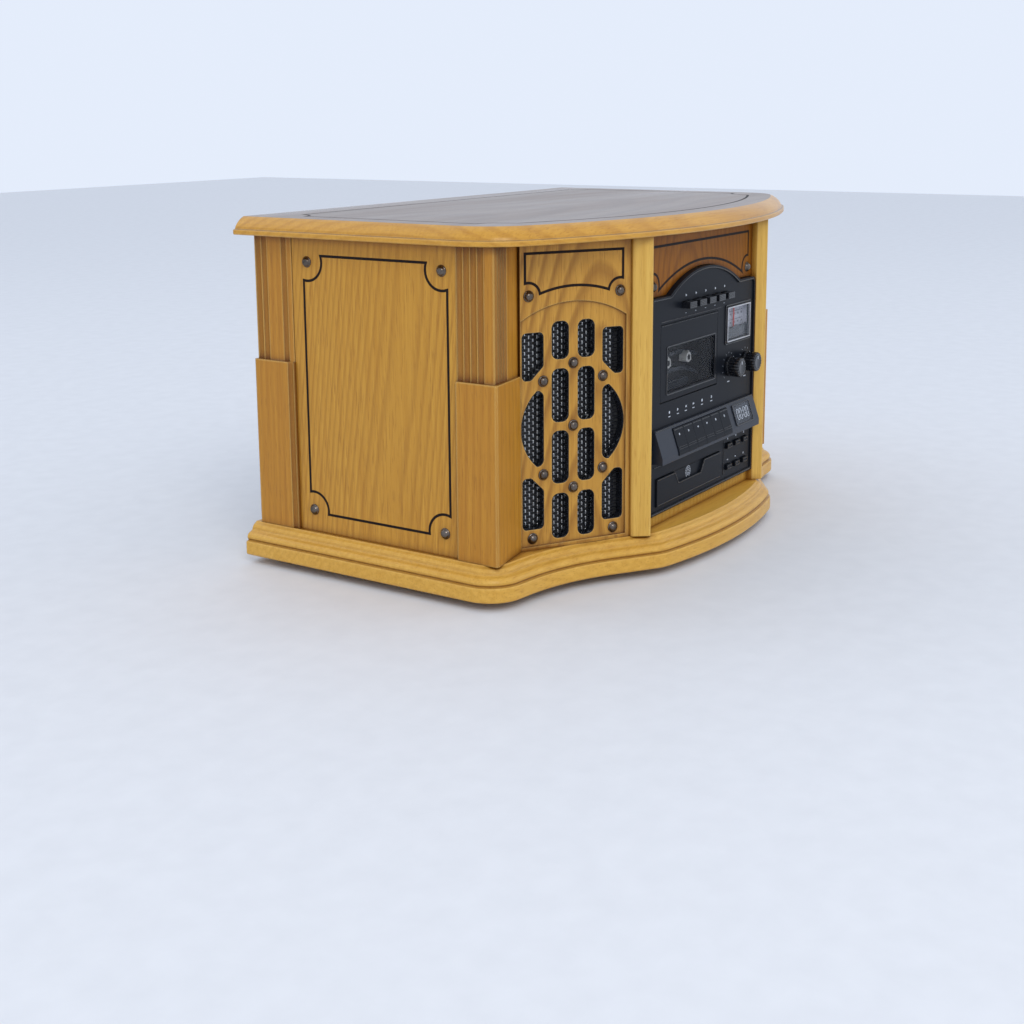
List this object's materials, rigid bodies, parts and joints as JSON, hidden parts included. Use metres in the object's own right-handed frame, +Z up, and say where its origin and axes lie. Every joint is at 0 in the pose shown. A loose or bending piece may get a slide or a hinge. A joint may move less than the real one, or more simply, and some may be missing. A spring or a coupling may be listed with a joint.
{
  "type": "turntable record player",
  "caption": "Bow-fronted wooden tabletop record player with hinged lid, slotted speaker panels, dial, knobs, tape deck, keys and a disc drawer.",
  "frame": {"origin": "centre of the bounding box, on the surface under the feet", "axes": "+Z up, front faces -Y, +X to the right seen from the front"},
  "size_m": [0.591, 0.371, 0.3285],
  "materials": {
    "veneer": "satin lacquer over oak veneer",
    "backboard": "painted hardboard",
    "black_plastic": "matte black moulded plastic",
    "gloss_black": "gloss black",
    "smoked_window": "smoked clear plastic",
    "clear_window": "clear plastic",
    "dial_white": "printed dial scale",
    "pointer_red": "red",
    "mesh_metal": "perforated sheet",
    "pewter": "dark polished nail heads",
    "steel": "plated",
    "rubber": "matte",
    "mat_rubber": "ribbed",
    "platter_metal": "turned",
    "arm_metal": "satin",
    "brass": "turned",
    "speaker_black": "paper cone and steel basket",
    "hub_white": "moulded",
    "board_green": "circuit board with its parts"
  },
  "bodies": {
    "cabinet": {"amplifier_board": "board_green", "back_panel": "backboard", "base_plinth": "veneer", "cassette_well": "black_plastic", "cd_drive": "black_plastic", "deck_board": "black_plastic", "dial_housing": "black_plastic", "dome_nails": "pewter", "drive_belt": "rubber", "drive_motor": "steel", "fascia": "black_plastic", "fascia_windows": "clear_window", "feet": "rubber", "front_posts": "veneer", "front_rails": "veneer", "key_housing": "black_plastic", "left_side_panel": "veneer", "left_speaker_baffle": "veneer", "pilasters": "veneer", "platter_bearing": "brass", "rear_hardware": "steel", "rear_sockets": "black_plastic", "right_side_panel": "veneer", "right_speaker_baffle": "veneer", "speaker_drivers": "speaker_black", "speaker_grilles": "mesh_metal", "tonearm_base": "arm_metal"},
    "lid": {"lid_board": "veneer", "lid_hinge_leaves": "steel"},
    "platter_body": {"platter": "platter_metal", "platter_mat": "mat_rubber"},
    "pulley": {"motor_pulley": "brass"},
    "arm_yoke": {"tonearm_yoke": "arm_metal"},
    "arm": {"tonearm": "arm_metal"},
    "speed_lever": {"speed_lever": "black_plastic"},
    "volume_knob": {"volume_knob": "gloss_black"},
    "tuning_knob": {"tuning_knob": "gloss_black"},
    "dial_pointer": {"dial_pointer": "pointer_red"},
    "cassette_door": {"cassette_door": "black_plastic", "cassette_window": "smoked_window"},
    "supply_hub": {"supply_hub": "hub_white"},
    "takeup_hub": {"takeup_hub": "hub_white"},
    "cd_tray": {"cd_tray": "black_plastic"},
    "function_button_1": {"function_button_1": "gloss_black"},
    "function_button_2": {"function_button_2": "gloss_black"},
    "function_button_3": {"function_button_3": "gloss_black"},
    "function_button_4": {"function_button_4": "gloss_black"},
    "function_button_5": {"function_button_5": "gloss_black"},
    "tape_key_1": {"tape_key_1": "black_plastic"},
    "cd_button_1": {"cd_button_1": "black_plastic"},
    "tape_key_2": {"tape_key_2": "black_plastic"},
    "cd_button_2": {"cd_button_2": "black_plastic"},
    "tape_key_3": {"tape_key_3": "black_plastic"},
    "cd_button_3": {"cd_button_3": "black_plastic"},
    "tape_key_4": {"tape_key_4": "black_plastic"},
    "cd_button_4": {"cd_button_4": "black_plastic"},
    "tape_key_5": {"tape_key_5": "black_plastic"},
    "cd_button_5": {"cd_button_5": "black_plastic"},
    "tape_key_6": {"tape_key_6": "black_plastic"},
    "cd_button_6": {"cd_button_6": "black_plastic"}
  },
  "joints": [
    {"name": "lid_hinge", "type": "hinge", "parent": "cabinet", "child": "lid", "pos_m": [0, 0.1824, 0.309], "axis": [-1, 0, 0], "range_deg": [0, 70]},
    {"name": "platter_spin", "type": "hinge", "parent": "cabinet", "child": "platter_body", "pos_m": [-0.062, 0.018, 0.27], "axis": [0, 0, -1], "continuous": true},
    {"name": "pulley_spin", "type": "hinge", "parent": "cabinet", "child": "pulley", "pos_m": [-0.12776, 0.08376, 0.267], "axis": [0, 0, -1], "continuous": true},
    {"name": "arm_swing", "type": "hinge", "parent": "cabinet", "child": "arm_yoke", "pos_m": [0.138, 0.112, 0.275], "axis": [0, 0, -1], "range_deg": [0, 44]},
    {"name": "arm_lift", "type": "hinge", "parent": "arm_yoke", "child": "arm", "pos_m": [0.138, 0.112, 0.29], "axis": [-0.9903, 0.1392, 0], "range_deg": [0, 3.5]},
    {"name": "speed_select", "type": "hinge", "parent": "cabinet", "child": "speed_lever", "pos_m": [0.205, -0.01, 0.266], "axis": [0, 0, 1], "range_deg": [-20, 20]},
    {"name": "volume_turn", "type": "hinge", "parent": "cabinet", "child": "volume_knob", "pos_m": [0.055, -0.155, 0.168], "axis": [0, 1, 0], "range_deg": [-150, 150]},
    {"name": "tuning_turn", "type": "hinge", "parent": "cabinet", "child": "tuning_knob", "pos_m": [0.0938, -0.155, 0.168], "axis": [0, 1, 0], "range_deg": [-135, 135]},
    {"name": "pointer_slide", "type": "slide", "parent": "cabinet", "child": "dial_pointer", "axis": [1, 0, 0], "range_m": [-0.021, 0.021]},
    {"name": "function_press_1", "type": "slide", "parent": "cabinet", "child": "function_button_1", "axis": [0, 1, 0], "range_m": [0, 0.003], "stiffness_N_per_m": 400},
    {"name": "function_press_2", "type": "slide", "parent": "cabinet", "child": "function_button_2", "axis": [0, 1, 0], "range_m": [0, 0.003], "stiffness_N_per_m": 400},
    {"name": "function_press_3", "type": "slide", "parent": "cabinet", "child": "function_button_3", "axis": [0, 1, 0], "range_m": [0, 0.003], "stiffness_N_per_m": 400},
    {"name": "function_press_4", "type": "slide", "parent": "cabinet", "child": "function_button_4", "axis": [0, 1, 0], "range_m": [0, 0.003], "stiffness_N_per_m": 400},
    {"name": "function_press_5", "type": "slide", "parent": "cabinet", "child": "function_button_5", "axis": [0, 1, 0], "range_m": [0, 0.003], "stiffness_N_per_m": 400},
    {"name": "key_press_1", "type": "slide", "parent": "cabinet", "child": "tape_key_1", "axis": [0, 1, 0], "range_m": [0, 0.0035], "stiffness_N_per_m": 800},
    {"name": "key_press_2", "type": "slide", "parent": "cabinet", "child": "tape_key_2", "axis": [0, 1, 0], "range_m": [0, 0.0035], "stiffness_N_per_m": 800},
    {"name": "key_press_3", "type": "slide", "parent": "cabinet", "child": "tape_key_3", "axis": [0, 1, 0], "range_m": [0, 0.0035], "stiffness_N_per_m": 800},
    {"name": "key_press_4", "type": "slide", "parent": "cabinet", "child": "tape_key_4", "axis": [0, 1, 0], "range_m": [0, 0.0035], "stiffness_N_per_m": 800},
    {"name": "key_press_5", "type": "slide", "parent": "cabinet", "child": "tape_key_5", "axis": [0, 1, 0], "range_m": [0, 0.0035], "stiffness_N_per_m": 800},
    {"name": "key_press_6", "type": "slide", "parent": "cabinet", "child": "tape_key_6", "axis": [0, 1, 0], "range_m": [0, 0.0035], "stiffness_N_per_m": 800},
    {"name": "cd_press_1", "type": "slide", "parent": "cabinet", "child": "cd_button_1", "axis": [0, 1, 0], "range_m": [0, 0.0015], "stiffness_N_per_m": 500},
    {"name": "cd_press_2", "type": "slide", "parent": "cabinet", "child": "cd_button_2", "axis": [0, 1, 0], "range_m": [0, 0.0015], "stiffness_N_per_m": 500},
    {"name": "cd_press_3", "type": "slide", "parent": "cabinet", "child": "cd_button_3", "axis": [0, 1, 0], "range_m": [0, 0.0015], "stiffness_N_per_m": 500},
    {"name": "cd_press_4", "type": "slide", "parent": "cabinet", "child": "cd_button_4", "axis": [0, 1, 0], "range_m": [0, 0.0015], "stiffness_N_per_m": 500},
    {"name": "cd_press_5", "type": "slide", "parent": "cabinet", "child": "cd_button_5", "axis": [0, 1, 0], "range_m": [0, 0.0015], "stiffness_N_per_m": 500},
    {"name": "cd_press_6", "type": "slide", "parent": "cabinet", "child": "cd_button_6", "axis": [0, 1, 0], "range_m": [0, 0.0015], "stiffness_N_per_m": 500},
    {"name": "door_hinge", "type": "hinge", "parent": "cabinet", "child": "cassette_door", "pos_m": [-0.0325, -0.1479, 0.1564], "axis": [1, 0, 0], "range_deg": [0, 35]},
    {"name": "supply_hub_spin", "type": "hinge", "parent": "cabinet", "child": "supply_hub", "pos_m": [-0.05375, -0.135, 0.186], "axis": [0, 1, 0], "continuous": true},
    {"name": "takeup_hub_spin", "type": "hinge", "parent": "cabinet", "child": "takeup_hub", "pos_m": [-0.01125, -0.135, 0.186], "axis": [0, 1, 0], "continuous": true},
    {"name": "tray_slide", "type": "slide", "parent": "cabinet", "child": "cd_tray", "axis": [0, -1, 0], "range_m": [0, 0.13]}
  ],
  "couplings": [
    {"joint": "pulley_spin", "follows": "platter_spin", "ratio": 14.167},
    {"joint": "pointer_slide", "follows": "tuning_turn", "m_per_rad": 0.008488}
  ]
}
